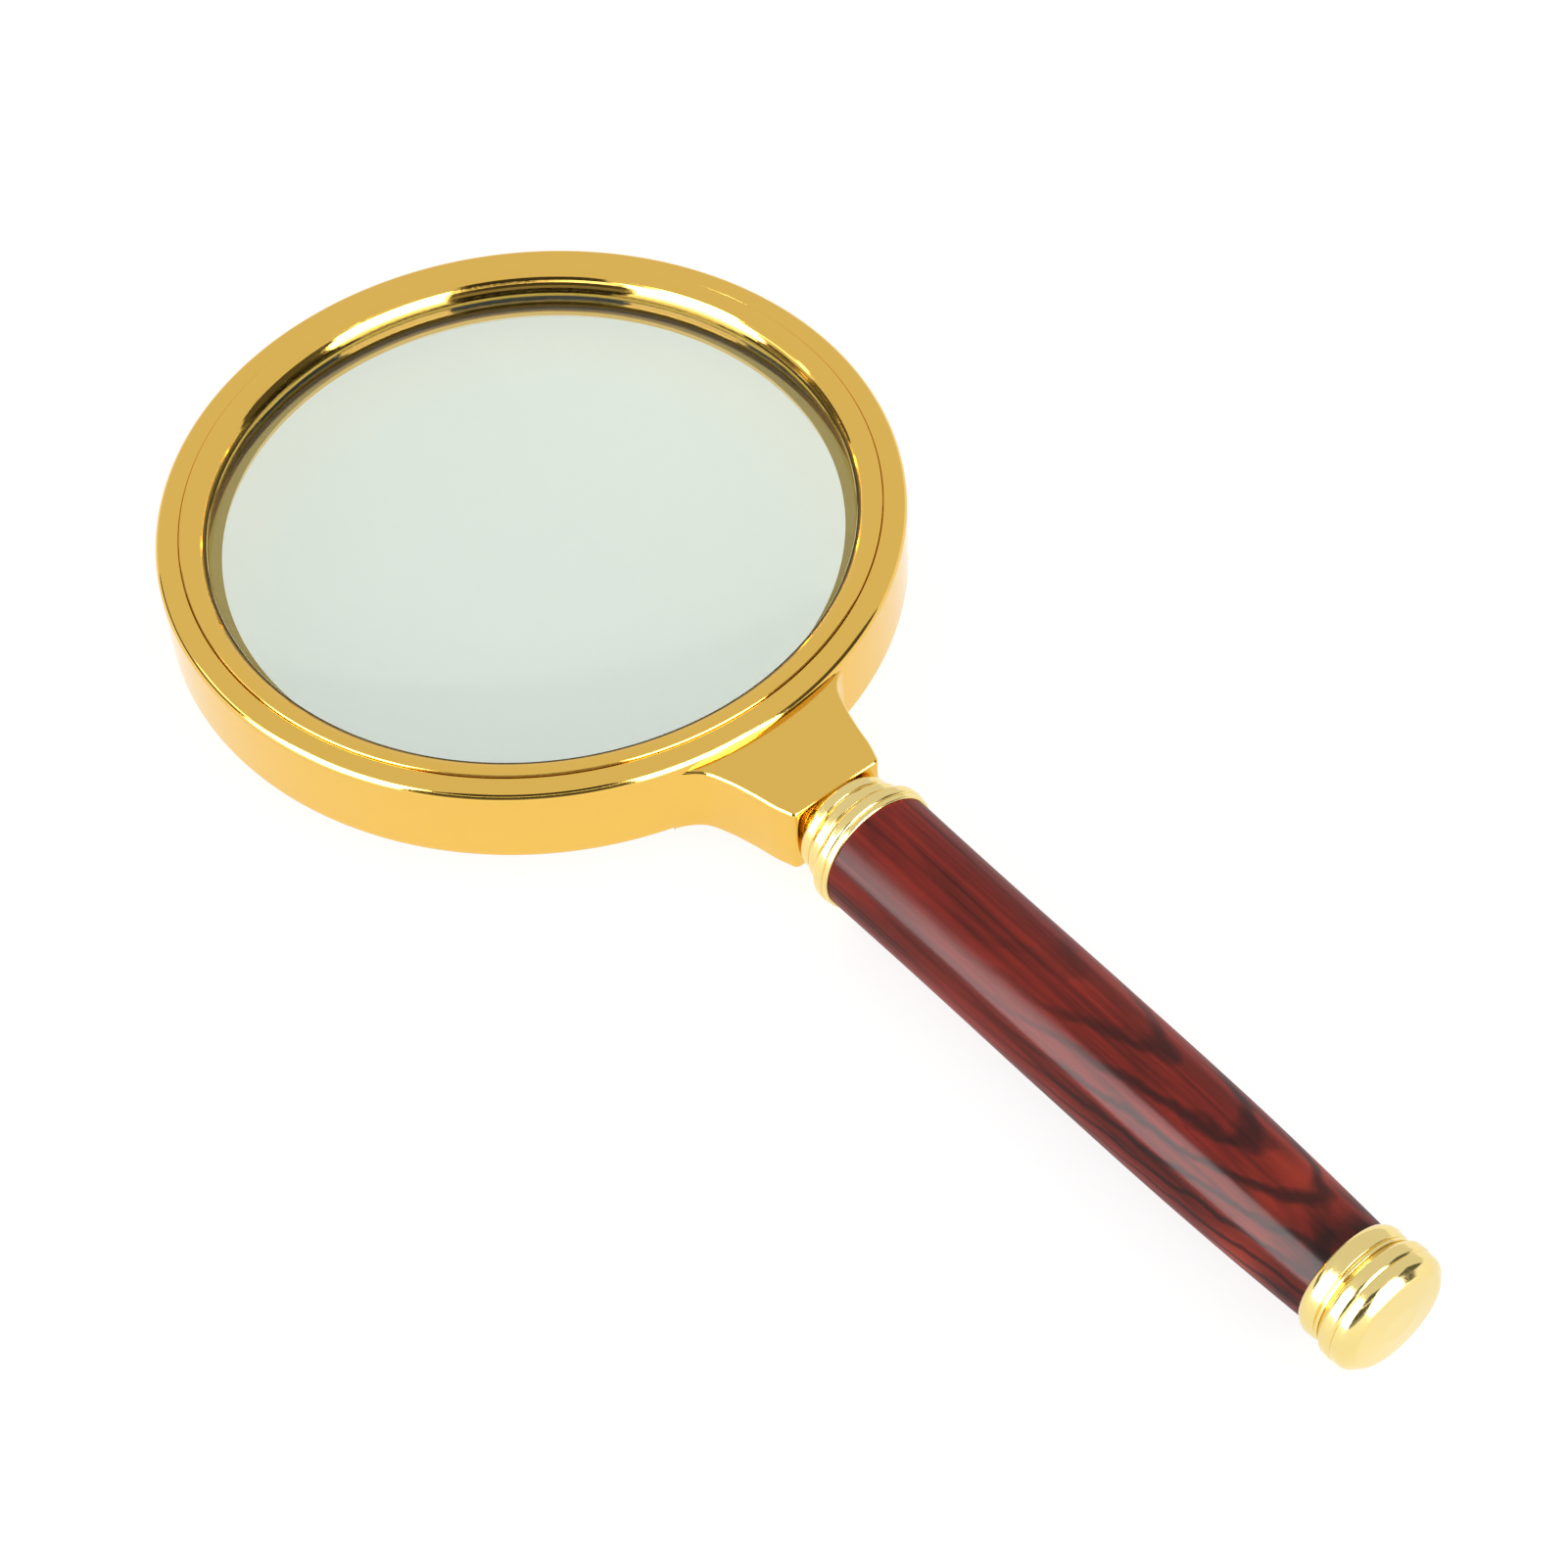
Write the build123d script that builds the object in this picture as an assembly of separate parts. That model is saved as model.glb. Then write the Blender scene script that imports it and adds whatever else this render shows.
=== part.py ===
from build123d import *
import math
import os

# A hand magnifier: a biconvex lens held in a plated ring, and a turned wooden handle that
# screws into the ring's neck. All lengths are in millimetres.
#
# Frame: +X runs from the lens along the handle, +Z is the optical axis, out of the front of
# the lens. The object lies face up; the origin is below the middle of its length, at the
# height of its lowest point, which is the underside of the front ferrule's flange.
#
# Two working frames are used. In the ring frame the origin is the centre of the ring's front
# face. In the handle frame X is measured from the lens centre too, and Z from the handle axis.

# Ring, in the ring frame: radii, and heights below the front face.
RING_R = 48.5
RING_T = 12.0
RING_EDGE = 1.1
REAR_EDGE = 1.2
SOCKET_R = 45.4
SOCKET_FLOOR = -4.4
SEAT_R = 43.7
SEAT_Z = -6.2
REAR_LIP_R = 40.2
REAR_LIP_Z = -7.4
REAR_MOUTH_R = 43.0

# Lens: both faces are the same sphere.
LENS_R = 43.4
LENS_EDGE_FRONT = -3.0
LENS_EDGE_T = 2.6
LENS_SAG = 3.0
LENS_BEVEL = 0.15

# Cushion between the lens and its seat.
CUSHION_R = 43.6
CUSHION_IN_R = 42.4
CUSHION_T = 0.45

# Retaining ring, screwed into the front of the socket.
RETAINER_FIT = 0.05
RETAINER_PROUD = 0.25
RETAINER_IN_R = 41.9
RETAINER_ROLL = 2.5
RETAINER_LIP_Z = -2.75
RETAINER_SKIRT_R = 44.0
RETAINER_SKIRT_Z = -4.3

# Neck, in the ring frame. Its underside is level with the ring's rear face, and its side is a
# curve through points of (distance from the lens centre, half width).
NECK_TOP = -1.5
NECK_BOTTOM = -RING_T
NECK_END = 61.1
NECK_END_HALF = 6.7
NECK_SIDE = [(46.3, 14.0), (48.2, 11.0), (51.2, 9.5), (55.0, 8.4), (58.8, 7.5)]
NECK_ROOT = (40.0, 14.2)
NECK_EDGE = 0.55
NECK_CORNER = 0.9

# Handle axis, and the stud that holds the handle in the neck.
AXIS_DEPTH = 7.1
STUD_R = 2.95
STUD_CORE_R = 2.5
PITCH = 1.0
STUD_TIP = 47.6
BORE_R = 3.03
BORE_END = 47.1
BORE_CHAMFER = 0.5

# Stations along the handle, measured from the lens centre.
WASHER_END = 61.9
FIRST_GROOVE = 63.65
SECOND_GROOVE = 65.65
FERRULE_FLOOR = 65.9
FLANGE_GROOVE = 67.9
WOOD_START = 68.7
WOOD_END = 148.1
COLLAR_FLOOR = 150.0
COLLAR_GROOVE = 150.75
SPIGOT_FLOOR = 150.9
COLLAR_END = 151.3
SPIGOT_END = 152.7
CAP_GROOVE = 153.75
ROD_END = 155.4
CAP_FACE = 156.4
HANDLE_END = 156.8

# Radii along the handle. Each V groove is cut this far below the bead beside it.
GROOVE_DEPTH = 0.25
FIRST_BEAD_R = 6.95
SECOND_BEAD_R = 7.45
FLANGE_R = 8.6
FERRULE_LIP_R = 8.45
WASHER_R = 4.9
ROD_SHANK_R = 2.6
ROD_HOLE_R = 3.2
FRONT_TENON_R = 6.0
REAR_TENON_R = 5.6
COLLAR_LIP_R = 7.1
COLLAR_BELLY_R = 7.75
COLLAR_RIM_R = 7.55
SPIGOT_R = 6.7
SPIGOT_IN_R = 6.1
CAP_RIM_R = 7.3
CAP_R = 8.15
CAP_FACE_R = 6.6
CAP_ROOM_R = 6.15
FIT = 0.05

# Wooden grip: stations and radii of its side, and the fastening inside the cap.
WOOD_SIDE = [(WOOD_START, 8.08), (84.0, 7.9), (106.0, 7.85), (128.0, 7.6), (WOOD_END, 6.8)]
END_WASHER_T = 0.8
NUT_T = 3.2
NUT_FLATS = 10.0
NUT_CHAMFER = 0.3
ROD_TIP_R = 2.0
CAP_WALL = 1.2

# Places of the two working frames in the part's own frame.
RING_X = -(HANDLE_END - RING_R) / 2
HANDLE_Z = FLANGE_R
FRONT_Z = HANDLE_Z + AXIS_DEPTH


def outline(corners):
    """Closed outline in the XZ plane from (along, out, corner radius) triples."""
    points = [(a, b) for a, b, _ in corners]
    radii = [radius for _, _, radius in corners]
    return Plane.XZ * make_face(FilletPolyline(*points, radius=radii, close=True))


def turned_on_lens_axis(corners):
    """Solid of revolution about the optical axis, from (radius, height, corner) triples."""
    return Pos(RING_X, 0, FRONT_Z) * revolve(outline(corners), Axis.Z)


def turned_on_handle_axis(corners):
    """Solid of revolution about the handle axis, from (station, radius, corner) triples."""
    return Pos(RING_X, 0, HANDLE_Z) * revolve(outline(corners), Axis.X)


def handle_rod(start, end, radius):
    """Plain cylinder on the handle axis between two stations."""
    cylinder = Cylinder(radius, end - start, rotation=(0, 90, 0))
    return Pos(RING_X + (start + end) / 2, 0, HANDLE_Z) * cylinder


def threaded_length(start, end):
    """Thread corners from start to end as even V ridges, one to each pitch."""
    turns = int((end - start) / PITCH)
    corners = []
    for turn in range(turns):
        root = start + turn * PITCH
        corners.append((root, STUD_CORE_R, 0))
        corners.append((root + 0.45 * PITCH, STUD_R, 0))
        corners.append((root + 0.55 * PITCH, STUD_R, 0))
    corners.append((start + turns * PITCH, STUD_CORE_R, 0))
    return corners


def neck():
    """Flared tab that joins the ring to the handle, with softened edges."""
    left = Spline(*NECK_SIDE, tangents=[(0.45, -1), (1, -0.35)])
    tip = Polyline(NECK_SIDE[-1], (NECK_END, NECK_END_HALF), (NECK_END, 0))
    root = Polyline(NECK_SIDE[0], NECK_ROOT, (NECK_ROOT[0], 0))
    half = [left, tip, root]
    plan = make_face(half + [mirror(edge, Plane.XZ) for edge in half])
    corners = plan.vertices().filter_by(lambda v: v.X > NECK_END - 0.1 and abs(v.Y) > 1)
    plan = fillet(corners, NECK_CORNER)
    tab = Pos(0, 0, NECK_BOTTOM) * extrude(plan, NECK_TOP - NECK_BOTTOM)
    rims = tab.edges().filter_by(lambda e: abs(e.tangent_at(0.5).Z) < 0.01)
    rims = rims.filter_by(lambda e: e.center().X > SEAT_R)
    return Pos(RING_X, 0, FRONT_Z) * fillet(rims, NECK_EDGE)


def lens_frame():
    """Ring and neck in one casting, with the lens socket and the handle's threaded bore."""
    disc = turned_on_lens_axis([
        (0, 0, 0),
        (RING_R, 0, RING_EDGE),
        (RING_R, -RING_T, REAR_EDGE),
        (0, -RING_T, 0),
    ])
    room = turned_on_lens_axis([
        (0, 1, 0),
        (SOCKET_R, 1, 0),
        (SOCKET_R, SOCKET_FLOOR, 0),
        (SEAT_R, SOCKET_FLOOR, 0),
        (SEAT_R, SEAT_Z, 0),
        (REAR_LIP_R, SEAT_Z, 0),
        (REAR_LIP_R, REAR_LIP_Z, 0.5),
        (REAR_MOUTH_R, -RING_T, 1.0),
        (REAR_MOUTH_R + 1, -RING_T - 1, 0),
        (0, -RING_T - 1, 0),
    ])
    bore = turned_on_handle_axis([
        (BORE_END, 0, 0),
        (BORE_END, BORE_R, 0),
        (NECK_END - BORE_CHAMFER, BORE_R, 0),
        (NECK_END, BORE_R + BORE_CHAMFER, 0),
        (NECK_END + 1, BORE_R + BORE_CHAMFER, 0),
        (NECK_END + 1, 0, 0),
    ])
    return disc + neck() - room - bore


def lens():
    """Biconvex lens: two equal caps of a sphere on a short cylindrical edge."""
    sphere_r = (LENS_R ** 2 + LENS_SAG ** 2) / (2 * LENS_SAG)
    middle = LENS_EDGE_FRONT - LENS_EDGE_T / 2
    crown = LENS_EDGE_T / 2 + LENS_SAG
    front = Pos(RING_X, 0, FRONT_Z + middle + crown - sphere_r) * Sphere(sphere_r)
    rear = Pos(RING_X, 0, FRONT_Z + middle - crown + sphere_r) * Sphere(sphere_r)
    edge = Pos(RING_X, 0, FRONT_Z + middle) * Cylinder(LENS_R, 4 * crown)
    blank = front & rear & edge
    rims = blank.edges().filter_by(GeomType.CIRCLE)
    return chamfer(rims, LENS_BEVEL)


def lens_cushion():
    """Soft washer between the lens edge and its seat."""
    return turned_on_lens_axis([
        (CUSHION_IN_R, SEAT_Z, 0),
        (CUSHION_R, SEAT_Z, 0),
        (CUSHION_R, SEAT_Z + CUSHION_T, 0),
        (CUSHION_IN_R, SEAT_Z + CUSHION_T, 0),
    ])


def retaining_ring():
    """Front ring with a rolled inner edge that holds the lens in the socket."""
    return turned_on_lens_axis([
        (SOCKET_R - RETAINER_FIT, RETAINER_PROUD, 0.15),
        (RETAINER_IN_R, RETAINER_PROUD, RETAINER_ROLL),
        (RETAINER_IN_R, RETAINER_LIP_Z, 0),
        (RETAINER_SKIRT_R, RETAINER_LIP_Z, 0),
        (RETAINER_SKIRT_R, RETAINER_SKIRT_Z, 0),
        (SOCKET_R - RETAINER_FIT, RETAINER_SKIRT_Z, 0),
    ])


def neck_washer():
    """Small collar on the stud, between the neck and the front ferrule."""
    return turned_on_handle_axis([
        (NECK_END, BORE_R + FIT, 0),
        (WASHER_END, BORE_R + FIT, 0),
        (WASHER_END, WASHER_R, 0.15),
        (NECK_END, WASHER_R, 0.15),
    ])


def front_ferrule():
    """Stepped ferrule: two beads and a wide flange, bored for the rod and the wood's tenon."""
    return turned_on_handle_axis([
        (WASHER_END, BORE_R, 0),
        (WASHER_END, FIRST_BEAD_R - 0.4, 0.35),
        (WASHER_END + 0.4, FIRST_BEAD_R, 0.6),
        (FIRST_GROOVE - 0.15, FIRST_BEAD_R, 0.35),
        (FIRST_GROOVE, FIRST_BEAD_R - GROOVE_DEPTH, 0),
        (FIRST_GROOVE + 0.2, SECOND_BEAD_R - 0.3, 0.35),
        (FIRST_GROOVE + 0.75, SECOND_BEAD_R, 0.5),
        (SECOND_GROOVE - 0.15, SECOND_BEAD_R, 0.35),
        (SECOND_GROOVE, SECOND_BEAD_R - GROOVE_DEPTH, 0),
        (SECOND_GROOVE + 0.2, FLANGE_R - 0.8, 0.35),
        (SECOND_GROOVE + 0.85, FLANGE_R, 0.7),
        (FLANGE_GROOVE - 0.15, FLANGE_R, 0.4),
        (FLANGE_GROOVE, FLANGE_R - GROOVE_DEPTH, 0),
        (FLANGE_GROOVE + 0.15, FERRULE_LIP_R, 0.1),
        (WOOD_START, FERRULE_LIP_R - 0.05, 0.25),
        (WOOD_START, FRONT_TENON_R + FIT, 0),
        (FERRULE_FLOOR, FRONT_TENON_R + FIT, 0),
        (FERRULE_FLOOR, BORE_R, 0),
    ])


def handle_grip():
    """Turned wooden grip with a gentle taper and a tenon at each end, bored for the rod."""
    belly = Spline(*WOOD_SIDE)
    tenons = Polyline(
        WOOD_SIDE[-1],
        (WOOD_END, REAR_TENON_R),
        (COLLAR_FLOOR, REAR_TENON_R),
        (COLLAR_FLOOR, ROD_HOLE_R),
        (FERRULE_FLOOR, ROD_HOLE_R),
        (FERRULE_FLOOR, FRONT_TENON_R),
        (WOOD_START, FRONT_TENON_R),
        WOOD_SIDE[0],
    )
    half = Plane.XZ * make_face([belly, tenons])
    return Pos(RING_X, 0, HANDLE_Z) * revolve(half, Axis.X)


def tie_rod():
    """Rod through the whole handle: its front thread is the stud, its rear one takes the nut."""
    front_thread = threaded_length(STUD_TIP + 0.6, FERRULE_FLOOR - 0.2)
    rear_thread = threaded_length(COLLAR_FLOOR - 2, ROD_END - 0.3)
    corners = [(STUD_TIP, 0, 0), (STUD_TIP, ROD_TIP_R, 0)]
    corners += front_thread
    corners.append((FERRULE_FLOOR + 0.4, ROD_SHANK_R, 0))
    corners.append((COLLAR_FLOOR - 2.6, ROD_SHANK_R, 0))
    corners += rear_thread
    corners.append((ROD_END, ROD_TIP_R, 0))
    corners.append((ROD_END, 0, 0))
    return turned_on_handle_axis(corners)


def end_collar():
    """Convex band that caps the wood, with a floor for the nut and a spigot for the cap."""
    return turned_on_handle_axis([
        (WOOD_END, REAR_TENON_R + FIT, 0),
        (WOOD_END, COLLAR_LIP_R, 0.3),
        (WOOD_END + 0.9, COLLAR_BELLY_R, 1.6),
        (COLLAR_GROOVE - 0.15, COLLAR_RIM_R, 0.12),
        (COLLAR_GROOVE, COLLAR_RIM_R - GROOVE_DEPTH, 0),
        (COLLAR_GROOVE + 0.15, COLLAR_RIM_R - 0.05, 0.1),
        (COLLAR_END, COLLAR_RIM_R - 0.05, 0.1),
        (COLLAR_END, SPIGOT_R, 0),
        (SPIGOT_END, SPIGOT_R, 0),
        (SPIGOT_END, SPIGOT_IN_R, 0),
        (SPIGOT_FLOOR, SPIGOT_IN_R, 0),
        (SPIGOT_FLOOR, BORE_R + FIT, 0),
        (COLLAR_FLOOR, BORE_R + FIT, 0),
        (COLLAR_FLOOR, REAR_TENON_R + FIT, 0),
    ])


def end_washer():
    """Flat washer under the nut."""
    end = SPIGOT_FLOOR + END_WASHER_T
    blank = handle_rod(SPIGOT_FLOOR, end, SPIGOT_IN_R - 2 * FIT)
    return blank - handle_rod(SPIGOT_FLOOR - 1, end + 1, BORE_R + 2 * FIT)


def rod_nut():
    """Thin hexagon nut that pulls the handle together."""
    start = SPIGOT_FLOOR + END_WASHER_T
    end = start + NUT_T
    across_corners_r = NUT_FLATS / math.sqrt(3)
    hexagon = extrude(Plane.YZ * RegularPolygon(across_corners_r, 6), NUT_T)
    blank = Pos(RING_X + start, 0, HANDLE_Z) * hexagon
    turned = turned_on_handle_axis([
        (start, 0, 0),
        (start, across_corners_r - 1.5 * NUT_CHAMFER, 0),
        (start + NUT_CHAMFER, across_corners_r, 0),
        (end - NUT_CHAMFER, across_corners_r, 0),
        (end, across_corners_r - 1.5 * NUT_CHAMFER, 0),
        (end, 0, 0),
    ])
    return (blank & turned) - handle_rod(start - 1, end + 1, BORE_R)


def end_cap():
    """Domed cap pressed on the collar's spigot, hollow over the nut."""
    ceiling = HANDLE_END - CAP_WALL
    return turned_on_handle_axis([
        (COLLAR_END, SPIGOT_R + FIT, 0),
        (COLLAR_END, CAP_RIM_R, 0.1),
        (COLLAR_END + 0.35, CAP_RIM_R + 0.3, 0.15),
        (COLLAR_END + 0.9, CAP_R - 0.05, 0.6),
        (CAP_GROOVE - 0.25, CAP_R, 0.6),
        (CAP_GROOVE, CAP_R - GROOVE_DEPTH, 0),
        (CAP_GROOVE + 0.25, CAP_R - 0.1, 0.3),
        (CAP_GROOVE + 1.45, CAP_R - 0.15, 1.3),
        (CAP_FACE, CAP_FACE_R, 1.3),
        (HANDLE_END, CAP_FACE_R - 4.0, 3.0),
        (HANDLE_END, 0, 0),
        (ceiling, 0, 0),
        (ceiling, CAP_FACE_R - 2.0, 0.5),
        (CAP_GROOVE + 1.15, CAP_ROOM_R, 0.5),
        (SPIGOT_END + 2 * FIT, CAP_ROOM_R, 0),
        (SPIGOT_END + 2 * FIT, SPIGOT_R + FIT, 0),
    ])


def main():
    os.makedirs("parts", exist_ok=True)
    pieces = [
        lens_frame,
        lens,
        lens_cushion,
        retaining_ring,
        neck_washer,
        front_ferrule,
        handle_grip,
        tie_rod,
        end_collar,
        end_washer,
        rod_nut,
        end_cap,
    ]
    for piece in pieces:
        export_step(piece(), os.path.join("parts", piece.__name__ + ".step"))


main()
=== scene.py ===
"""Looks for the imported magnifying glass: studio, camera, finer meshes and materials."""
import math

import bmesh
import bpy
from mathutils import Matrix, Vector


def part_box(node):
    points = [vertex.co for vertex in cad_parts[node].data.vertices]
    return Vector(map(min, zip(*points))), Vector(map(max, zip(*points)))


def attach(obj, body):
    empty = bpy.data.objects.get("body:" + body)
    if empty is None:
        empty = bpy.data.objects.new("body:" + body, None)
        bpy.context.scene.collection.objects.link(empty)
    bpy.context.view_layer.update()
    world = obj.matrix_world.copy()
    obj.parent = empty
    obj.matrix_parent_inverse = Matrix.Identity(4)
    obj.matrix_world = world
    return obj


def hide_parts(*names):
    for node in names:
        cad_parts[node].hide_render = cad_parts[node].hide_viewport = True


MM = 0.001
WHITE = (1.0, 1.0, 1.0, 1.0)

# The camera, placed about the centre of the ring's front face, in millimetres and degrees.
CAMERA_TARGET = (57.34, -5.42, 0.0)
CAMERA_DISTANCE = 473.33
CAMERA_AZIMUTH = -37.23
CAMERA_ELEVATION = 50.54
CAMERA_ROLL = -3.53
CAMERA_SWING = 0.25
CAMERA_LENS = 89.94
CAMERA_SENSOR = 36.0

# Studio, in metres: an even overcast, a floor that glows a little, and panels (name, azimuth
# from and to, elevation from and to, brightness) that only reflections see. Angles are in
# degrees, azimuth from +X.
OVERCAST = 0.82
FLOOR_SIZE = 6.0
FLOOR_GREY = 0.2
FLOOR_GLOW = 0.845
PANEL_DISTANCE = 1.4
PANEL_COLUMNS = 12
PANEL_ROWS = 10
PANELS = [
    ("softbox_left", -118.0, -74.0, -3.0, 50.0, 12.0),
    ("softbox_right", -14.0, 26.0, -3.0, 50.0, 12.0),
    ("strip_left", -142.0, -119.0, 23.0, 31.0, 4.2),
    ("flag_base", -73.0, -15.0, -3.0, 12.0, 0.3),
    ("flag_low", -73.0, -15.0, 12.0, 36.0, 0.07),
    ("slit", -73.0, -15.0, 36.0, 38.5, 3.0),
    ("flag_high", -73.0, -15.0, 38.5, 66.0, 0.05),
    ("flag_right", 27.0, 64.0, -3.0, 36.0, 0.1),
    ("flag_left", -160.0, -119.0, -3.0, 14.0, 0.1),
]

# Ring, in the ring frame: the origin is the centre of the front face, in millimetres.
RING_R = 48.5
RING_T = 12.0
RING_EDGE = 1.1
REAR_EDGE = 1.2
SOCKET_R = 45.4
SOCKET_EDGE = 0.2
SOCKET_FLOOR = -4.4
SEAT_R = 43.7
SEAT_Z = -6.2
REAR_LIP_R = 40.2
REAR_LIP_Z = -7.4
REAR_LIP_EDGE = 0.5
REAR_MOUTH_R = 43.0
REAR_MOUTH_EDGE = 1.0
RETAINER_R = 45.35
RETAINER_PROUD = 0.25
RETAINER_EDGE = 0.25
RETAINER_IN_R = 41.9
RETAINER_ROLL = 2.5
RETAINER_LIP_Z = -2.75
RETAINER_SKIRT_R = 44.0
RETAINER_SKIRT_Z = -4.3
LENS_R = 43.4
LENS_EDGE_FRONT = -3.0
LENS_EDGE_T = 2.6
LENS_SAG = 3.0

# Neck, in the ring frame. Its underside stops just short of the ring's rear face, so that the
# two flat faces don't fight when they are joined. Its side is a curve through points of
# (distance from the lens centre, half width), with the end slopes given.
NECK_TOP = -1.5
NECK_BOTTOM = -11.98
NECK_ROOT = 45.7
NECK_END = 61.1
NECK_END_HALF = 6.7
NECK_CORNER = 0.9
NECK_EDGE = 0.55
NECK_EDGE_STEPS = 5
NECK_SIDE = [(46.3, 14.0), (48.2, 11.0), (51.2, 9.5), (55.0, 8.4), (58.8, 7.5)]
NECK_SLOPES = [(1.2, -3.0), (3.4, -1.19)]

# Stations along the handle, measured from the lens centre.
BORE_END = 47.1
WASHER_END = 61.9
FIRST_GROOVE = 63.65
SECOND_GROOVE = 65.65
FERRULE_FLOOR = 65.9
FLANGE_GROOVE = 67.9
WOOD_START = 68.7
WOOD_END = 148.1
COLLAR_FLOOR = 150.0
COLLAR_GROOVE = 150.75
SPIGOT_FLOOR = 150.9
COLLAR_END = 151.3
SPIGOT_END = 152.7
CAP_GROOVE = 153.75
CAP_FACE = 156.4
HANDLE_END = 156.8

# Radii along the handle, and the depths and half widths of the V grooves between beads.
BORE_R = 3.03
BORE_CHAMFER = 0.5
GROOVE_DEPTH = 0.25
GROOVE_HALF = 0.15
FLANGE_GROOVE_DEPTH = 0.3
CAP_GROOVE_HALF = 0.25
FIRST_BEAD_R = 6.95
SECOND_BEAD_R = 7.45
FLANGE_R = 8.6
FERRULE_LIP_R = 8.4
FRONT_TENON_R = 6.0
REAR_TENON_R = 5.6
ROD_HOLE_R = 3.2
COLLAR_LIP_R = 7.1
COLLAR_BELLY_R = 7.75
COLLAR_RIM_R = 7.55
COLLAR_END_R = 7.5
SPIGOT_R = 6.7
SPIGOT_IN_R = 6.1
CAP_RIM_R = 7.3
CAP_R = 8.15
CAP_FACE_R = 6.6
CAP_ROOM_R = 6.15
CAP_WALL = 1.2
FIT = 0.05

# Wooden grip: stations and radii of its side, and the end slopes of the curve through them.
WOOD_SIDE = [(WOOD_START, 8.08), (84.0, 7.9), (106.0, 7.85), (128.0, 7.6), (WOOD_END, 6.8)]
WOOD_SLOPES = [(15.3, -0.25), (20.1, -1.1)]

# Rod and its thread. The core is turned a little below the thread's root beside each thread.
STUD_TIP = 47.6
ROD_END = 155.4
ROD_TIP_R = 2.0
ROD_SHANK_R = 2.6
STUD_R = 2.95
STUD_CORE_R = 2.5
STUD_RELIEF = 0.05
PITCH = 1.0
THREAD_FLAT = 0.15

# Figure of the wood, and painted shade where the wood meets the cap: stations, in metres, between
# which each effect comes in or fades out.
FLAMES_RISE = (88 * MM, 118 * MM)
GLOW_RISE = (132 * MM, 138 * MM)
GLOW_FADE = (141 * MM, 146 * MM)
# Painted shade: the wood darkens towards the cap, standing in for the shade the cap casts.
CAP_SHADE_RISE = (139 * MM, 146 * MM)

# Mesh fineness, and tolerances: lengths in millimetres, angles in degrees but for STRAIGHT,
# which is in radians.
SEGMENTS_RING = 384
SEGMENTS_HANDLE = 160
SEGMENTS_ROD = 72
LENS_STEPS = 48
THREAD_STEPS = 16
ARC_STEP = 9.0
HOLD_LOOP = 0.06
SHARP_ANGLE = 30.0
STRAIGHT = 0.01
WELD = 0.0005
SAME_PLACE = 0.001
ON_AXIS = 1e-6


# ---------------------------------------------------------------- outlines and meshes

def rounded(corners):
    """Points of a closed outline of (a, b, corner radius), with the corners as arcs."""
    points = []
    count = len(corners)
    for i, (a, b, radius) in enumerate(corners):
        here = Vector((a, b))
        before = Vector(corners[i - 1][:2]) - here
        after = Vector(corners[(i + 1) % count][:2]) - here
        turn = math.pi - before.angle(after)
        if radius <= 0 or turn < STRAIGHT:
            points.append(here)
            continue
        reach = radius * math.tan(turn / 2)
        start = here + before.normalized() * reach
        end = here + after.normalized() * reach
        inward = (before.normalized() + after.normalized()).normalized()
        centre = here + inward * (radius / math.cos(turn / 2))
        steps = max(2, math.ceil(math.degrees(turn) / ARC_STEP))
        for k in range(steps + 1):
            t = k / steps
            from_start = (start - centre) * math.sin((1 - t) * turn)
            from_end = (end - centre) * math.sin(t * turn)
            points.append(centre + (from_start + from_end) / math.sin(turn))
    return held(points)


def held(points):
    """The same outline with a loop close to each end of its long straight runs."""
    full = []
    for i, here in enumerate(points):
        there = points[(i + 1) % len(points)]
        full.append(here)
        run = there - here
        if run.length > 6 * HOLD_LOOP:
            full.append(here + run.normalized() * HOLD_LOOP)
            full.append(there - run.normalized() * HOLD_LOOP)
    return full


def curve_through(points, first, last, steps=8):
    """Smooth curve through the points, with the given end slopes as vectors."""
    knots = [Vector(p) for p in points]
    slopes = [Vector(first)]
    slopes += [(knots[i + 1] - knots[i - 1]) / 2 for i in range(1, len(knots) - 1)]
    slopes.append(Vector(last))
    curve = []
    for i in range(len(knots) - 1):
        for k in range(steps):
            t = k / steps
            curve.append(
                knots[i] * (2 * t ** 3 - 3 * t ** 2 + 1)
                + slopes[i] * (t ** 3 - 2 * t ** 2 + t)
                + knots[i + 1] * (3 * t ** 2 - 2 * t ** 3)
                + slopes[i + 1] * (t ** 3 - t ** 2)
            )
    curve.append(knots[-1])
    return curve


def finish_mesh(name, bm, body, material, origin):
    """Turns a bmesh in millimetres into a smooth-shaded piece, which rides on a body if given."""
    bmesh.ops.remove_doubles(bm, verts=bm.verts, dist=WELD)
    bmesh.ops.recalc_face_normals(bm, faces=bm.faces)
    placing = Matrix.Translation(origin) @ Matrix.Scale(MM, 4)
    bmesh.ops.transform(bm, matrix=placing, verts=bm.verts)
    mesh = bpy.data.meshes.new(name)
    bm.to_mesh(mesh)
    bm.free()
    piece = bpy.data.objects.new(name, mesh)
    bpy.context.scene.collection.objects.link(piece)
    shade(mesh)
    mesh.materials.append(material)
    if body:
        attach(piece, body)
    return piece


def shade(mesh):
    """Smooth shading, with a hard line where two faces meet at a real corner."""
    bm = bmesh.new()
    bm.from_mesh(mesh)
    for face in bm.faces:
        face.smooth = True
    for edge in bm.edges:
        edge.smooth = edge.calc_face_angle(0.0) < math.radians(SHARP_ANGLE)
    bm.to_mesh(mesh)
    bm.free()


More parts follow.
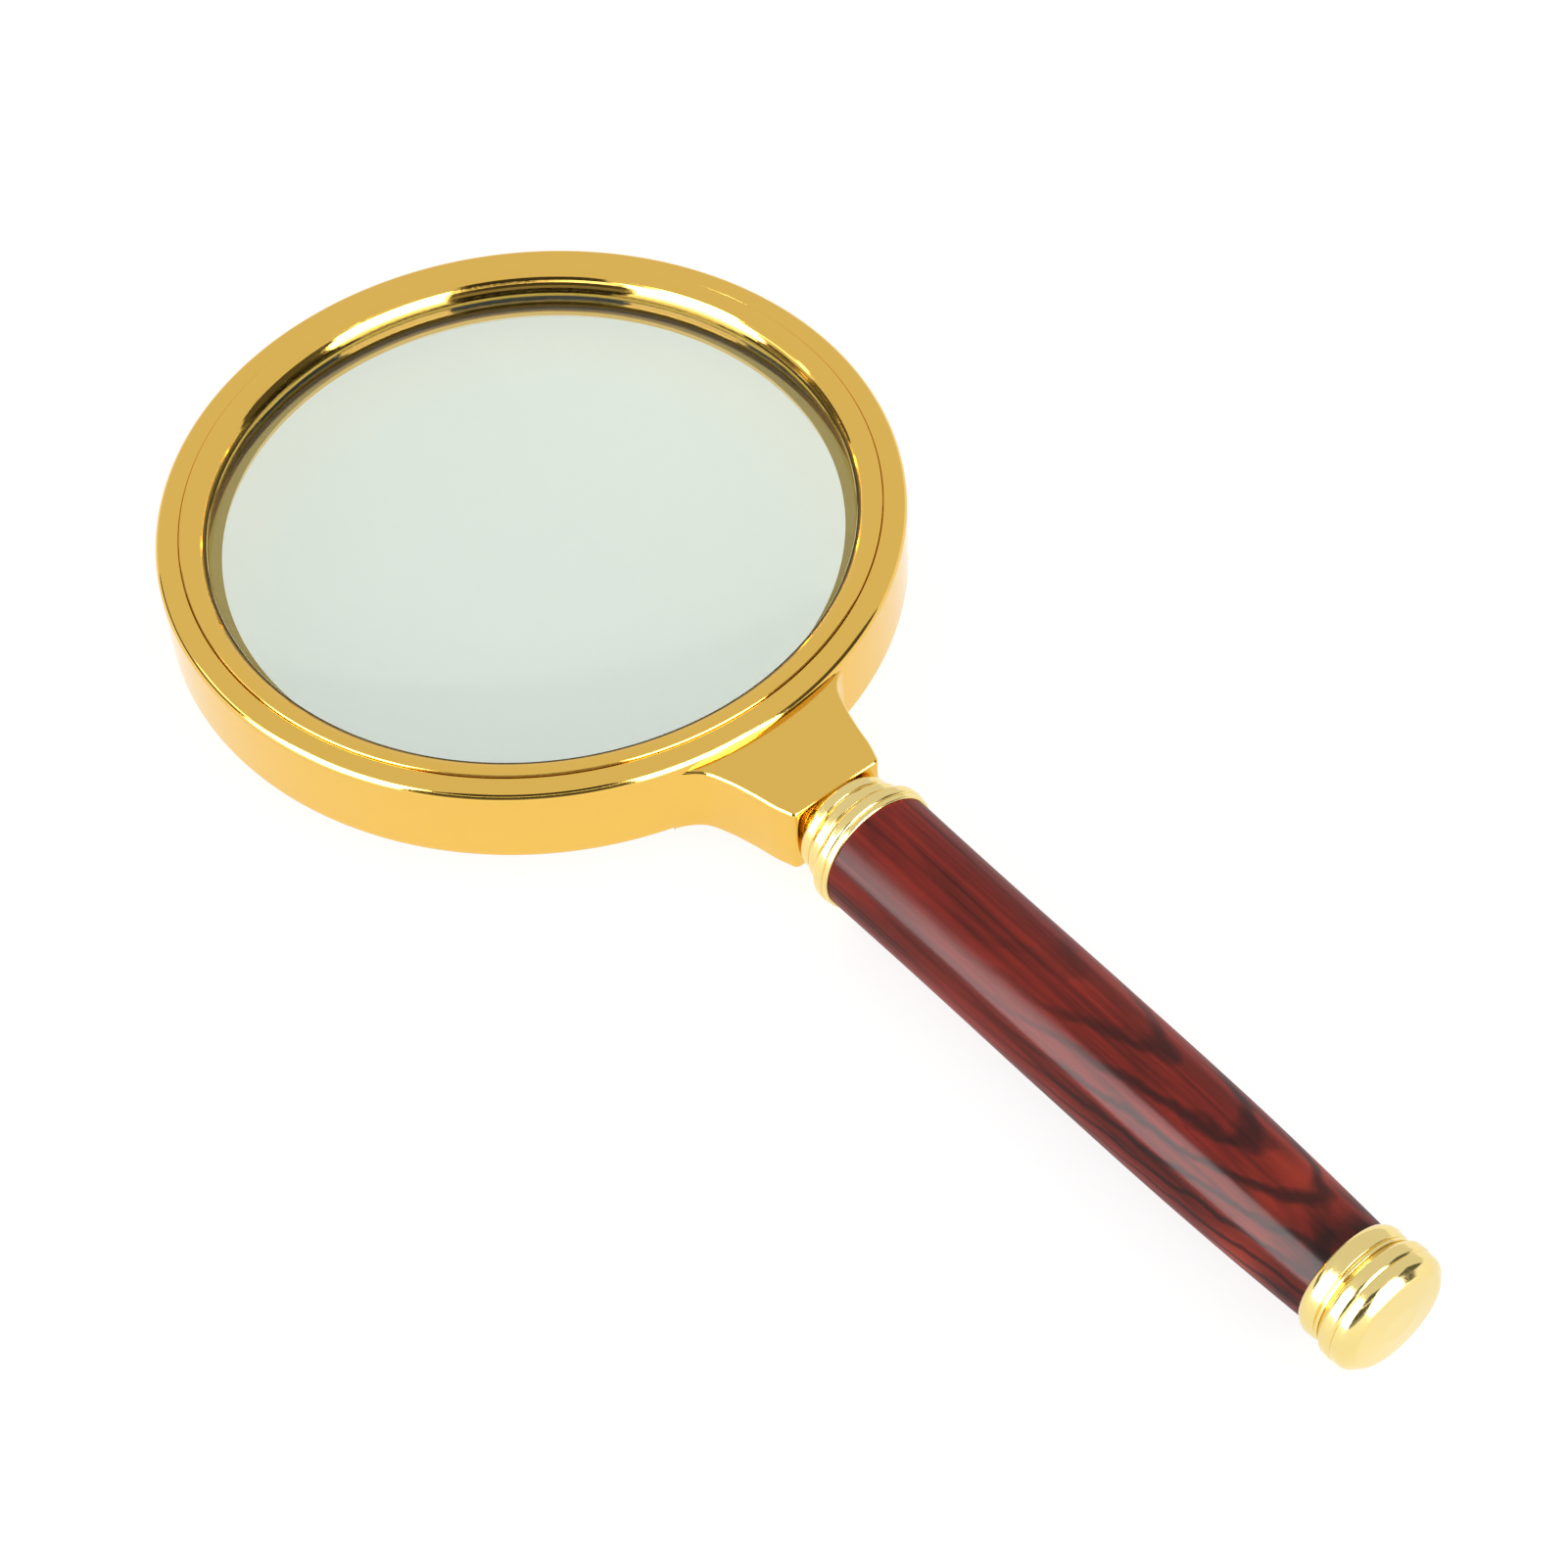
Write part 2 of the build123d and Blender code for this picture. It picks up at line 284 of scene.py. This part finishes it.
def lathe(points, place, segments):
    """Bmesh of a closed outline turned about an axis; place gives (x, y, z) for each angle."""
    bm = bmesh.new()
    rings = []
    for point in points:
        across = place(point, 0.0) - place(point, math.pi)
        if across.length < ON_AXIS:
            rings.append([bm.verts.new(place(point, 0.0))] * segments)
        else:
            angles = [math.tau * k / segments for k in range(segments)]
            rings.append([bm.verts.new(place(point, angle)) for angle in angles])
    for i, ring in enumerate(rings):
        other = rings[(i + 1) % len(rings)]
        for k in range(segments):
            n = (k + 1) % segments
            corners = []
            for vert in (ring[k], ring[n], other[n], other[k]):
                if vert not in corners:
                    corners.append(vert)
            if len(corners) > 2:
                bm.faces.new(corners)
    return bm


def about_lens(point, angle):
    """(radius, height) at an angle about the optical axis."""
    return Vector((point[0] * math.cos(angle), point[0] * math.sin(angle), point[1]))


def about_handle(point, angle):
    """(station, radius) at an angle about the handle axis."""
    return Vector((point[0], point[1] * math.cos(angle), point[1] * math.sin(angle)))


def ring_piece(name, corners, material):
    """Piece turned about the optical axis, fixed to the frame."""
    bm = lathe(rounded(corners), about_lens, SEGMENTS_RING)
    return finish_mesh(name, bm, "frame", material, ring_centre)


def handle_piece(name, points, material):
    """Piece turned about the handle's axis, fixed to the handle."""
    bm = lathe(points, about_handle, SEGMENTS_HANDLE)
    return finish_mesh(name, bm, "handle", material, handle_origin)


# ---------------------------------------------------------------- pieces

def neck_mesh():
    """Bmesh of the flared tab between ring and handle, with rolled edges."""
    side = curve_through(NECK_SIDE, *NECK_SLOPES)[:-1]
    tip = [(*NECK_SIDE[-1], 0), (NECK_END, NECK_END_HALF, NECK_CORNER)]
    half = [(p.x, p.y, 0) for p in side] + tip
    outline = [(NECK_ROOT, half[0][1], 0)] + half
    outline += [(x, -y, r) for x, y, r in reversed(outline)]
    flat = rounded(outline)
    inward = inward_normals(flat)
    low = []
    for k in range(NECK_EDGE_STEPS + 1):
        turn = math.pi / 2 * k / NECK_EDGE_STEPS
        inset = NECK_EDGE * (1 - math.sin(turn))
        low.append((inset, NECK_BOTTOM + NECK_EDGE * (1 - math.cos(turn))))
    levels = low + [(inset, NECK_TOP + NECK_BOTTOM - z) for inset, z in reversed(low)]
    bm = bmesh.new()
    loops = []
    for inset, z in levels:
        shrunk = [point + normal * inset for point, normal in zip(flat, inward)]
        loops.append([bm.verts.new((p.x, p.y, z)) for p in shrunk])
    for lower, upper in zip(loops, loops[1:]):
        for k in range(len(flat)):
            n = (k + 1) % len(flat)
            bm.faces.new((lower[k], lower[n], upper[n], upper[k]))
    bm.faces.new(loops[0])
    bm.faces.new(loops[-1])
    return bm


def inward_normals(outline):
    """Unit vectors into the neck's clockwise outline; its root, inside the ring, stays put."""
    normals = []
    for i, here in enumerate(outline):
        if here.x < NECK_SIDE[0][0] + SAME_PLACE:
            normals.append(Vector((0.0, 0.0)))
            continue
        before = (here - outline[i - 1]).normalized()
        after = (outline[(i + 1) % len(outline)] - here).normalized()
        along = (before + after).normalized()
        normals.append(Vector((along.y, -along.x)))
    return normals


def lens_frame(material):
    """Ring and neck as one closed mesh, bored for the stud."""
    ring = ring_piece("ring_and_neck", [
        (SOCKET_R, 0, SOCKET_EDGE),
        (RING_R, 0, RING_EDGE),
        (RING_R, -RING_T, REAR_EDGE),
        (REAR_MOUTH_R, -RING_T, REAR_MOUTH_EDGE),
        (REAR_LIP_R, REAR_LIP_Z, REAR_LIP_EDGE),
        (REAR_LIP_R, SEAT_Z, 0),
        (SEAT_R, SEAT_Z, 0),
        (SEAT_R, SOCKET_FLOOR, 0),
        (SOCKET_R, SOCKET_FLOOR, 0),
    ], material)
    neck = finish_mesh("neck_tool", neck_mesh(), None, material, ring_centre)
    bore_outline = [
        (BORE_END, 0),
        (BORE_END, BORE_R),
        (NECK_END - BORE_CHAMFER, BORE_R),
        (NECK_END + BORE_CHAMFER, BORE_R + 2 * BORE_CHAMFER),
        (NECK_END + BORE_CHAMFER, 0),
    ]
    bore_mesh = lathe([Vector(p) for p in bore_outline], about_handle, SEGMENTS_ROD)
    bore = finish_mesh("bore_tool", bore_mesh, None, material, handle_origin)
    for tool, operation in ((neck, "UNION"), (bore, "DIFFERENCE")):
        cut = ring.modifiers.new(tool.name, "BOOLEAN")
        cut.object = tool
        cut.operation = operation
        cut.solver = "EXACT"
    graph = bpy.context.evaluated_depsgraph_get()
    joined = bpy.data.meshes.new_from_object(ring.evaluated_get(graph))
    ring.modifiers.clear()
    ring.data = joined
    shade(joined)
    bpy.data.objects.remove(neck)
    bpy.data.objects.remove(bore)
    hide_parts("lens_frame")


def retaining_ring(material):
    """Ring with a rolled inner edge and a skirt down the socket's wall."""
    piece = ring_piece("retainer", [
        (RETAINER_R, RETAINER_PROUD, RETAINER_EDGE),
        (RETAINER_IN_R, RETAINER_PROUD, RETAINER_ROLL),
        (RETAINER_IN_R, RETAINER_LIP_Z, 0),
        (RETAINER_SKIRT_R, RETAINER_LIP_Z, 0),
        (RETAINER_SKIRT_R, RETAINER_SKIRT_Z, 0),
        (RETAINER_R, RETAINER_SKIRT_Z, 0),
    ], material)
    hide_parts("retaining_ring")


def lens(material):
    """Biconvex lens; each face is a cap of a sphere through the edge and the crown."""
    sphere = (LENS_R ** 2 + LENS_SAG ** 2) / (2 * LENS_SAG)
    radii = [LENS_R * math.sin(math.pi / 2 * k / LENS_STEPS) for k in range(LENS_STEPS + 1)]
    drop = [sphere - math.sqrt(sphere ** 2 - r ** 2) for r in radii]
    crown = LENS_EDGE_FRONT + LENS_SAG
    back = LENS_EDGE_FRONT - LENS_EDGE_T - LENS_SAG
    front_face = [Vector((r, crown - d)) for r, d in zip(radii, drop)]
    rear_face = [Vector((r, back + d)) for r, d in zip(radii, drop)]
    points = front_face + rear_face[::-1]
    bm = lathe(points, about_lens, SEGMENTS_RING)
    piece = finish_mesh("lens_glass", bm, "frame", material, ring_centre)
    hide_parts("lens")


def ferrule(material):
    """Two beads and a flange, each wider than the last, with a V groove after each."""
    piece = handle_piece("ferrule", rounded([
        (WASHER_END, BORE_R, 0),
        (WASHER_END, FIRST_BEAD_R - 0.4, 0.35),
        (WASHER_END + 0.4, FIRST_BEAD_R, 0.6),
        (FIRST_GROOVE - GROOVE_HALF, FIRST_BEAD_R, 0.35),
        (FIRST_GROOVE, FIRST_BEAD_R - GROOVE_DEPTH, 0),
        (FIRST_GROOVE + 0.2, SECOND_BEAD_R - 0.3, 0.35),
        (FIRST_GROOVE + 0.75, SECOND_BEAD_R, 0.5),
        (SECOND_GROOVE - GROOVE_HALF, SECOND_BEAD_R, 0.35),
        (SECOND_GROOVE, SECOND_BEAD_R - GROOVE_DEPTH, 0),
        (SECOND_GROOVE + 0.2, FLANGE_R - 0.8, 0.35),
        (SECOND_GROOVE + 0.85, FLANGE_R, 0.7),
        (FLANGE_GROOVE - GROOVE_HALF, FLANGE_R, 0.4),
        (FLANGE_GROOVE, FLANGE_R - FLANGE_GROOVE_DEPTH, 0),
        (FLANGE_GROOVE + GROOVE_HALF, FERRULE_LIP_R + 0.05, 0.1),
        (WOOD_START, FERRULE_LIP_R, 0.25),
        (WOOD_START, FRONT_TENON_R + FIT, 0),
        (FERRULE_FLOOR, FRONT_TENON_R + FIT, 0),
        (FERRULE_FLOOR, BORE_R, 0),
    ]), material)
    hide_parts("front_ferrule")


def collar(material):
    """Convex band with a V groove, and the hollow spigot that the cap is pressed on."""
    piece = handle_piece("collar", rounded([
        (WOOD_END, REAR_TENON_R + FIT, 0),
        (WOOD_END, COLLAR_LIP_R, 0.3),
        (WOOD_END + 0.9, COLLAR_BELLY_R, 1.6),
        (COLLAR_GROOVE - GROOVE_HALF, COLLAR_RIM_R, 0.12),
        (COLLAR_GROOVE, COLLAR_RIM_R - GROOVE_DEPTH, 0),
        (COLLAR_GROOVE + GROOVE_HALF, COLLAR_END_R, 0.1),
        (COLLAR_END, COLLAR_END_R, 0.1),
        (COLLAR_END, SPIGOT_R, 0),
        (SPIGOT_END, SPIGOT_R, 0),
        (SPIGOT_END, SPIGOT_IN_R, 0),
        (SPIGOT_FLOOR, SPIGOT_IN_R, 0),
        (SPIGOT_FLOOR, BORE_R + FIT, 0),
        (COLLAR_FLOOR, BORE_R + FIT, 0),
        (COLLAR_FLOOR, REAR_TENON_R + FIT, 0),
    ]), material)
    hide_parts("end_collar")


def cap(material):
    """Hollow cap: a swelling rim, a V groove, and a rounded shoulder to a slightly domed face."""
    ceiling = HANDLE_END - CAP_WALL
    socket_floor = COLLAR_END + 1.5
    piece = handle_piece("cap", rounded([
        (COLLAR_END, SPIGOT_R + FIT, 0),
        (COLLAR_END, CAP_RIM_R, 0.1),
        (COLLAR_END + 0.35, CAP_RIM_R + 0.3, 0.15),
        (COLLAR_END + 0.9, CAP_R - 0.05, 0.6),
        (CAP_GROOVE - CAP_GROOVE_HALF, CAP_R, 0.6),
        (CAP_GROOVE, CAP_R - GROOVE_DEPTH, 0),
        (CAP_GROOVE + CAP_GROOVE_HALF, CAP_R - 0.1, 0.3),
        (CAP_GROOVE + 1.45, CAP_R - 0.15, 1.3),
        (CAP_FACE, CAP_FACE_R, 1.3),
        (HANDLE_END, CAP_FACE_R - 4.0, 3.0),
        (HANDLE_END, 0, 0),
        (ceiling, 0, 0),
        (ceiling, CAP_FACE_R - 2.0, 0.5),
        (CAP_GROOVE + 1.15, CAP_ROOM_R, 0.5),
        (socket_floor, CAP_ROOM_R, 0),
        (socket_floor, SPIGOT_R + FIT, 0),
    ]), material)
    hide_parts("end_cap")


def grip(material):
    """Turned wood: a gentle belly between the ferrule and the collar, with both tenons."""
    side = curve_through(WOOD_SIDE, *WOOD_SLOPES, steps=12)
    tenons = [
        (WOOD_END, REAR_TENON_R),
        (COLLAR_FLOOR, REAR_TENON_R),
        (COLLAR_FLOOR, ROD_HOLE_R),
        (FERRULE_FLOOR, ROD_HOLE_R),
        (FERRULE_FLOOR, FRONT_TENON_R),
        (WOOD_START, FRONT_TENON_R),
    ]
    points = side + [Vector(p) for p in tenons]
    piece = handle_piece("grip", points, material)
    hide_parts("handle_grip")


def thread_radius(station, angle):
    """Radius of a right-hand thread with small flats at root and crest."""
    phase = (station / PITCH - angle / math.tau) % 1.0
    slope = abs(2 * phase - 1) * (1 + 2 * THREAD_FLAT) - THREAD_FLAT
    height = min(1.0, max(0.0, slope))
    return STUD_CORE_R + (STUD_R - STUD_CORE_R) * height


def rod(material):
    """Tie rod with a true helical thread at both ends and a plain shank between them.

    Each row is (station, radius, threaded); on a threaded row the helix gives the radius.
    """
    threads = [(STUD_TIP + 0.6, FERRULE_FLOOR - 0.2), (COLLAR_FLOOR - 2.0, ROD_END - 0.4)]
    relief = STUD_CORE_R - STUD_RELIEF
    rows = [(STUD_TIP, 0.0, False), (STUD_TIP, ROD_TIP_R, False)]
    for start, end in threads:
        count = round((end - start) / PITCH * THREAD_STEPS)
        rows.append((start - 0.3, relief, False))
        rows += [(start + (end - start) * k / count, 0.0, True) for k in range(count + 1)]
        rows.append((end + 0.2, relief, False))
        if end < COLLAR_FLOOR:
            rows += [(end + 0.6, ROD_SHANK_R, False), (COLLAR_FLOOR - 2.8, ROD_SHANK_R, False)]
    rows += [(ROD_END, ROD_TIP_R, False), (ROD_END, 0.0, False)]

    def place(row, angle):
        station, radius, threaded = row
        radius = thread_radius(station, angle) if threaded else radius
        return Vector((station, radius * math.cos(angle), radius * math.sin(angle)))

    bm = lathe(rows, place, SEGMENTS_ROD)
    piece = finish_mesh("threaded_rod", bm, "handle", material, handle_origin)
    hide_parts("tie_rod")


# ---------------------------------------------------------------- materials

def node(tree, kind, **settings):
    """New shader node with the given properties."""
    made = tree.nodes.new(kind)
    for name, value in settings.items():
        setattr(made, name, value)
    return made


def feed(tree, socket, value):
    """Sets an input to a number or colour, or links another node's output to it."""
    if isinstance(value, bpy.types.NodeSocket):
        tree.links.new(value, socket)
    else:
        socket.default_value = value


def maths(tree, operation, *values):
    """Result of a maths node fed with the values, in order."""
    made = node(tree, "ShaderNodeMath", operation=operation)
    for socket, value in zip(made.inputs, values):
        feed(tree, socket, value)
    return made.outputs[0]


def remap(tree, value, low, high, to_low, to_high):
    """Value moved from one range to another and clamped to it."""
    made = node(tree, "ShaderNodeMapRange")
    for socket, given in zip(made.inputs, (value, low, high, to_low, to_high)):
        feed(tree, socket, given)
    return made.outputs[0]


def blend_colour(tree, share, first, second):
    """Share of the second colour laid over the first."""
    made = node(tree, "ShaderNodeMix", data_type="RGBA")
    feed(tree, made.inputs[0], share)
    feed(tree, made.inputs[6], first)
    feed(tree, made.inputs[7], second)
    return made.outputs[2]


def noise(tree, where, scale, detail=3.0, roughness=0.5, distortion=0.0):
    made = node(tree, "ShaderNodeTexNoise")
    tree.links.new(where, made.inputs["Vector"])
    made.inputs["Scale"].default_value = scale
    made.inputs["Detail"].default_value = detail
    made.inputs["Roughness"].default_value = roughness
    made.inputs["Distortion"].default_value = distortion
    return made.outputs["Fac"]


def placed(tree, location=(0, 0, 0), rotation=(0, 0, 0), scale=(1, 1, 1)):
    """Object coordinates, in metres, moved, turned in degrees and scaled."""
    where = node(tree, "ShaderNodeTexCoord").outputs["Object"]
    made = node(tree, "ShaderNodeMapping")
    tree.links.new(where, made.inputs["Vector"])
    made.inputs["Location"].default_value = location
    made.inputs["Rotation"].default_value = [math.radians(a) for a in rotation]
    made.inputs["Scale"].default_value = scale
    return made.outputs["Vector"]


def bump(tree, height, distance):
    """Surface normal roughened by a height, which is up to a distance in metres."""
    made = node(tree, "ShaderNodeBump")
    made.inputs["Strength"].default_value = 1.0
    made.inputs["Distance"].default_value = distance
    tree.links.new(height, made.inputs["Height"])
    return made.outputs["Normal"]


def principled(name, **sockets):
    """New material with one Principled shader; returns (material, tree, shader)."""
    material = bpy.data.materials.new(name)
    material.use_nodes = True
    tree = material.node_tree
    shader = tree.nodes["Principled BSDF"]
    for socket, value in sockets.items():
        shader.inputs[socket.replace("_", " ")].default_value = value
    return material, tree, shader


def polished(name, colour, smooth, worn, ripple):
    """Polished metal: faint hairlines in the gloss and a very slight ripple in the surface."""
    material, tree, shader = principled(name, Base_Color=(*colour, 1.0), Metallic=1.0)
    fine = noise(tree, placed(tree), scale=2600.0, detail=4.0, roughness=0.6)
    feed(tree, shader.inputs["Roughness"], remap(tree, fine, 0.35, 0.75, smooth, worn))
    slow = noise(tree, placed(tree), scale=130.0, detail=2.0)
    feed(tree, shader.inputs["Normal"], bump(tree, slow, ripple))
    return material


def steel():
    """Zinc-plated steel with an uneven gloss."""
    material, tree, shader = principled(
        "zinc_steel", Base_Color=(0.56, 0.57, 0.58, 1.0), Metallic=1.0)
    grain = noise(tree, placed(tree), scale=1800.0, detail=5.0)
    feed(tree, shader.inputs["Roughness"], remap(tree, grain, 0.3, 0.7, 0.2, 0.42))
    return material


def rubber():
    """Matt black rubber with a fine grain."""
    material, tree, shader = principled(
        "cushion_rubber", Base_Color=(0.018, 0.018, 0.018, 1.0), Roughness=0.62)
    grain = noise(tree, placed(tree), scale=3000.0)
    feed(tree, shader.inputs["Normal"], bump(tree, grain, 0.00004))
    return material


def rosewood():
    """Varnished rosewood: long dark fibres, with growth rings as flames near the cap, and painted
    shade that darkens the wood's end beside the cap.
    """
    material, tree, shader = principled(
        "rosewood", Roughness=0.6, Specular_IOR_Level=0.0, Coat_Weight=0.32, Coat_Roughness=0.18)
    along = axis_station(tree)
    stretched = placed(tree, scale=(24, 900, 900))
    fibres = noise(tree, stretched, scale=1.0, detail=6.0, roughness=0.62, distortion=0.2)
    drawn_out = placed(tree, location=(0.6, 0.1, 0.35), scale=(30, 170, 170))
    clouds = noise(tree, drawn_out, scale=1.0, detail=3.0, roughness=0.55, distortion=0.6)
    shading = maths(tree, "MULTIPLY_ADD", clouds, 1.5, -1.22)
    streaks = maths(tree, "MULTIPLY_ADD", fibres, 1.9, shading)
    tones = [
        (0.0, (0.072, 0.012, 0.009)),
        (0.32, (0.160, 0.018, 0.012)),
        (0.62, (0.250, 0.023, 0.015)),
        (1.0, (0.350, 0.036, 0.021)),
    ]
    colour = toned(tree, streaks, tones)
    near_cap = remap(tree, along, *GLOW_RISE, 0.0, 1.0)
    before_end = remap(tree, along, *GLOW_FADE, 1.0, 0.0)
    cloudy = remap(tree, clouds, 0.4, 0.6, 0.1, 0.8)
    glow = maths(tree, "MULTIPLY", maths(tree, "MULTIPLY", near_cap, before_end), cloudy)
    colour = blend_colour(tree, glow, colour, (0.37, 0.040, 0.019, 1.0))
    figured = remap(tree, along, *FLAMES_RISE, 0.1, 0.8)
    flames = maths(tree, "MULTIPLY", growth_rings(tree), figured)
    colour = blend_colour(tree, flames, colour, (0.026, 0.010, 0.009, 1.0))
    # Painted shade: mottled darkening of the wood towards the cap, for the shade the cap casts on
    # it.
    broad = placed(tree, scale=(60, 130, 130))
    patches = noise(tree, broad, scale=1.0, detail=2.0, distortion=1.6)
    cap_shade_mottle = remap(tree, patches, 0.36, 0.56, 0.35, 1.0)
    toward_cap_shade = remap(tree, along, *CAP_SHADE_RISE, 0.0, 0.92)
    painted_cap_shade = maths(tree, "MULTIPLY", cap_shade_mottle, toward_cap_shade)
    colour = blend_colour(tree, painted_cap_shade, colour, (0.022, 0.010, 0.009, 1.0))
    feed(tree, shader.inputs["Base Color"], colour)
    feed(tree, shader.inputs["Normal"], bump(tree, fibres, 0.00003))
    return material


def axis_station(tree):
    """Distance from the lens centre along the handle, in metres."""
    axes = node(tree, "ShaderNodeSeparateXYZ")
    tree.links.new(placed(tree, location=(-handle_origin.x, 0, 0)), axes.inputs[0])
    return axes.outputs["X"]


def growth_rings(tree):
    """Thin dark lines where growth rings, tilted to the handle, come out of its upper side."""
    tilted = placed(
        tree, location=(0.0, 0.008, 0.020), rotation=(0, 8, -3), scale=(0.75, 1.0, 1.0))
    rings = node(
        tree, "ShaderNodeTexWave", wave_type="RINGS", rings_direction="X", wave_profile="SIN")
    tree.links.new(tilted, rings.inputs["Vector"])
    rings.inputs["Scale"].default_value = 170.0
    rings.inputs["Distortion"].default_value = 3.4
    rings.inputs["Detail"].default_value = 3.0
    rings.inputs["Detail Scale"].default_value = 0.9
    return remap(tree, rings.outputs["Fac"], 0.62, 0.98, 0.0, 1.0)


def toned(tree, value, tones):
    """Colour ramp of (place, colour) tones."""
    ramp = node(tree, "ShaderNodeValToRGB")
    elements = ramp.color_ramp.elements
    while len(elements) < len(tones):
        elements.new(0.5)
    for element, (place, tone) in zip(elements, tones):
        element.position = place
        element.color = (*tone, 1.0)
    tree.links.new(value, ramp.inputs["Fac"])
    return ramp.outputs["Color"]


def glass():
    """Clear lens glass with a faint green cast, darkened further as painted shade under the lens,
    which lets the studio light through.
    """
    # The tint is partly the glass's own green cast and partly painted shade, darker than the
    # glass alone for the shade under the lens.
    cast_and_shade = (0.665, 0.735, 0.675, 1.0)
    material, tree, shader = principled(
        "optical_glass", Base_Color=cast_and_shade, Roughness=0.0, IOR=1.52, Transmission_Weight=1.0)
    clear = node(tree, "ShaderNodeBsdfTransparent")
    clear.inputs["Color"].default_value = (0.97, 0.985, 0.97, 1.0)
    path = node(tree, "ShaderNodeLightPath")
    mix = node(tree, "ShaderNodeMixShader")
    tree.links.new(path.outputs["Is Shadow Ray"], mix.inputs[0])
    tree.links.new(shader.outputs[0], mix.inputs[1])
    tree.links.new(clear.outputs[0], mix.inputs[2])
    tree.links.new(mix.outputs[0], tree.nodes["Material Output"].inputs["Surface"])
    return material


# ---------------------------------------------------------------- studio

def overcast():
    """Even white light from all round."""
    world = bpy.data.worlds.new("overcast")
    world.use_nodes = True
    background = world.node_tree.nodes["Background"]
    background.inputs["Color"].default_value = WHITE
    background.inputs["Strength"].default_value = OVERCAST
    bpy.context.scene.world = world


def direction(az, el):
    """Unit vector at an azimuth from +X and an elevation, both in radians."""
    return Vector((math.cos(az) * math.cos(el), math.sin(az) * math.cos(el), math.sin(el)))


def panel(name, az_from, az_to, el_from, el_to, brightness):
    """Curved card round the object that only reflections see: a softbox or a dark flag."""
    bm = bmesh.new()
    grid = []
    for i in range(PANEL_COLUMNS + 1):
        az = math.radians(az_from + (az_to - az_from) * i / PANEL_COLUMNS)
        column = []
        for k in range(PANEL_ROWS + 1):
            el = math.radians(el_from + (el_to - el_from) * k / PANEL_ROWS)
            column.append(bm.verts.new(ring_centre + direction(az, el) * PANEL_DISTANCE))
        grid.append(column)
    for i in range(PANEL_COLUMNS):
        for k in range(PANEL_ROWS):
            bm.faces.new((grid[i][k], grid[i + 1][k], grid[i + 1][k + 1], grid[i][k + 1]))
    mesh = bpy.data.meshes.new(name)
    bm.to_mesh(mesh)
    bm.free()
    card = bpy.data.objects.new(name, mesh)
    bpy.context.scene.collection.objects.link(card)
    mesh.materials.append(principled(
        name, Base_Color=(0.0, 0.0, 0.0, 1.0), Roughness=1.0, Specular_IOR_Level=0.0,
        Emission_Color=WHITE, Emission_Strength=brightness)[0])
    card.visible_camera = False
    card.visible_diffuse = False
    card.visible_transmission = False
    card.visible_shadow = False


def floor():
    """Plain pale floor, wide enough to fill the view."""
    bpy.ops.mesh.primitive_plane_add(size=FLOOR_SIZE)
    made = bpy.context.object
    made.name = "floor"
    made.data.materials.append(principled(
        "floor", Base_Color=(FLOOR_GREY, FLOOR_GREY, FLOOR_GREY, 1.0), Roughness=1.0,
        Emission_Color=WHITE, Emission_Strength=FLOOR_GLOW)[0])


def camera():
    """Camera at the reference viewing angle, with a long lens."""
    back = direction(math.radians(CAMERA_AZIMUTH), math.radians(CAMERA_ELEVATION))
    swing = Matrix.Rotation(math.radians(CAMERA_SWING), 3, "Z")
    roll = Matrix.Rotation(math.radians(CAMERA_ROLL), 3, "Z")
    turn = (-back).to_track_quat("-Z", "Y").to_matrix() @ roll
    data = bpy.data.cameras.new("camera")
    data.lens = CAMERA_LENS
    data.sensor_width = CAMERA_SENSOR
    data.clip_start = 0.01
    data.clip_end = 20.0
    made = bpy.data.objects.new("camera", data)
    made.rotation_mode = "QUATERNION"
    made.rotation_quaternion = (swing @ turn).to_quaternion()
    made.location = ring_centre + swing @ ((Vector(CAMERA_TARGET) + back * CAMERA_DISTANCE) * MM)
    bpy.context.scene.collection.objects.link(made)
    bpy.context.scene.camera = made


def dress(name, material):
    """Gives a CAD node that stays visible its material."""
    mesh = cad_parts[name].data
    mesh.materials.clear()
    mesh.materials.append(material)


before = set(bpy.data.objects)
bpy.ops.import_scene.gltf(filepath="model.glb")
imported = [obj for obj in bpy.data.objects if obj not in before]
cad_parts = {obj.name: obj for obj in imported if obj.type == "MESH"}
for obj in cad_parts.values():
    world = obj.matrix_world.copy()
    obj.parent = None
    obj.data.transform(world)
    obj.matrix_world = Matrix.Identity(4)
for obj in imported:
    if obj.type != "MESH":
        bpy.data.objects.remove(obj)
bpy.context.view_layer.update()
lens_low, lens_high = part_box("lens")
grip_low, grip_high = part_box("handle_grip")
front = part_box("lens_frame")[1][2]
ring_centre = Vector(((lens_low[0] + lens_high[0]) / 2, 0.0, front))
handle_origin = Vector((ring_centre.x, 0.0, (grip_low[2] + grip_high[2]) / 2))

overcast()
floor()
for settings in PANELS:
    panel(*settings)
camera()

gold = polished("gold_plate", (0.84, 0.53, 0.11), smooth=0.045, worn=0.12, ripple=0.000012)
brass = polished("pale_brass", (0.87, 0.69, 0.27), smooth=0.12, worn=0.20, ripple=0.000010)
zinc = steel()
lens_frame(gold)
retaining_ring(gold)
lens(glass())
ferrule(brass)
collar(brass)
cap(brass)
grip(rosewood())
rod(zinc)
dress("lens_cushion", rubber())
dress("neck_washer", brass)
dress("end_washer", zinc)
dress("rod_nut", zinc)

bpy.context.scene.view_settings.view_transform = "Standard"
